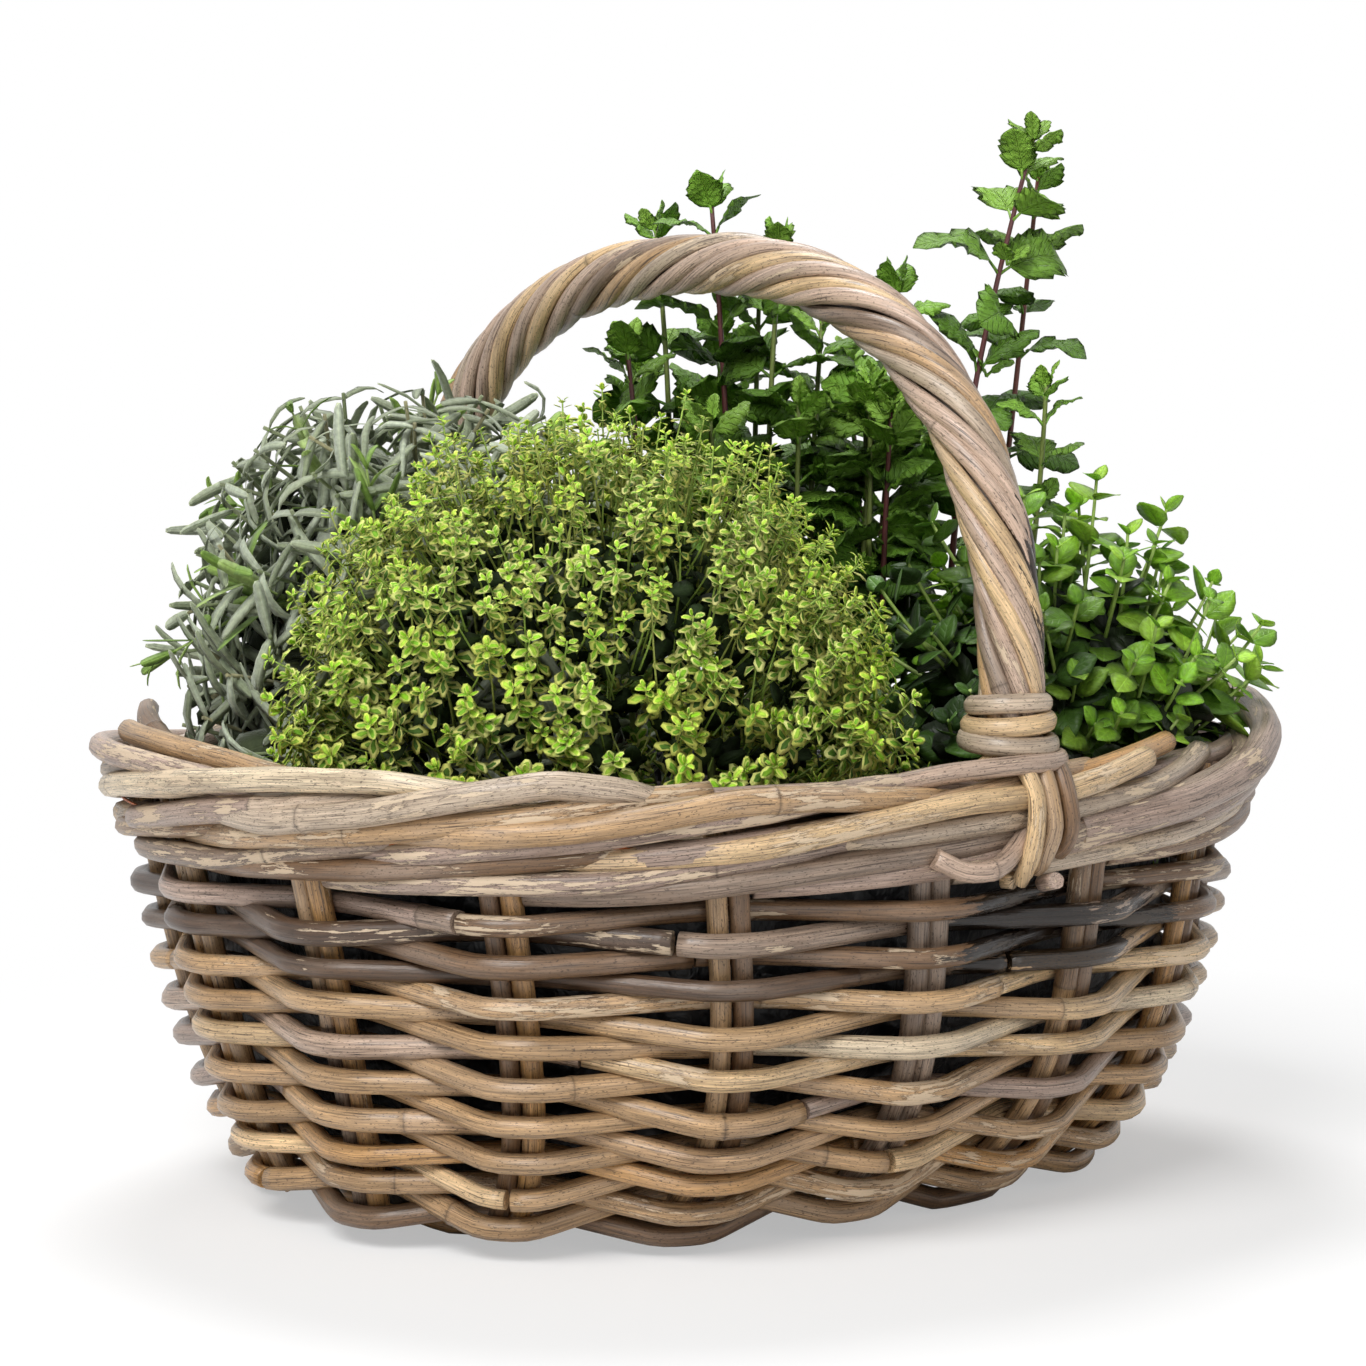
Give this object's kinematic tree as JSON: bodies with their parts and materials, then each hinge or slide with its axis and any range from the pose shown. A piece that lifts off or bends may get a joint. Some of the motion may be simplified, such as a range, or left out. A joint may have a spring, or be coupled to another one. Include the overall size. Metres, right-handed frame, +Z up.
{
  "type": "potted mint with mixed herbs",
  "caption": "Mint potted with thyme, lavender and oregano in a lined oval rattan basket with a twisted arch handle.",
  "frame": {"origin": "on the floor under the middle of the basket", "axes": "+Z up, +X along the long side of the oval basket, the arched handle stands in the plane X = 0"},
  "size_m": [0.4304, 0.372, 0.3831],
  "materials": {
    "rattan": "matte",
    "rattan_grey": "matte",
    "liner_film": "satin",
    "potting_soil": "matte",
    "thyme_leaf": "matte",
    "lavender_leaf": "matte",
    "oregano_leaf": "satin",
    "mint_leaf": "satin"
  },
  "bodies": {
    "root": {"base_mat": "rattan", "stake_pair_01": "rattan", "stake_pair_02": "rattan", "stake_pair_03": "rattan", "stake_pair_04": "rattan", "stake_pair_05": "rattan", "stake_pair_06": "rattan", "stake_pair_07": "rattan", "stake_pair_08": "rattan", "stake_pair_09": "rattan", "stake_pair_10": "rattan", "stake_pair_11": "rattan", "stake_pair_12": "rattan", "stake_pair_13": "rattan", "stake_pair_14": "rattan", "stake_pair_15": "rattan", "stake_pair_16": "rattan", "weaver_row_01": "rattan", "weaver_row_02": "rattan", "weaver_row_03": "rattan", "weaver_row_04": "rattan", "weaver_row_05": "rattan", "weaver_row_06": "rattan", "weaver_row_07": "rattan", "weaver_row_08": "rattan", "weaver_row_09": "rattan", "weaver_row_10": "rattan", "weaver_row_11": "rattan", "weaver_row_12": "rattan", "weaver_row_13": "rattan", "weaver_row_14": "rattan", "weaver_row_15": "rattan", "weaver_row_16": "rattan", "wale_rod_1": "rattan_grey", "wale_rod_2": "rattan_grey", "wale_rod_3": "rattan_grey", "border_rod_1": "rattan_grey", "border_rod_2": "rattan_grey", "handle_core": "rattan", "handle_wrap": "rattan_grey", "handle_binding_front": "rattan_grey", "handle_strap_front": "rattan_grey", "handle_binding_back": "rattan_grey", "handle_strap_back": "rattan_grey", "liner": "liner_film", "soil": "potting_soil", "thyme_cushion": "thyme_leaf", "lavender_cushion": "lavender_leaf", "oregano_cushion": "oregano_leaf", "mint_shoot_1": "mint_leaf", "mint_shoot_2": "mint_leaf", "mint_shoot_3": "mint_leaf", "mint_shoot_4": "mint_leaf", "mint_shoot_5": "mint_leaf", "mint_shoot_6": "mint_leaf", "mint_shoot_7": "mint_leaf", "mint_shoot_8": "mint_leaf", "mint_shoot_9": "mint_leaf", "mint_shoot_10": "mint_leaf"}
  },
  "joints": []
}
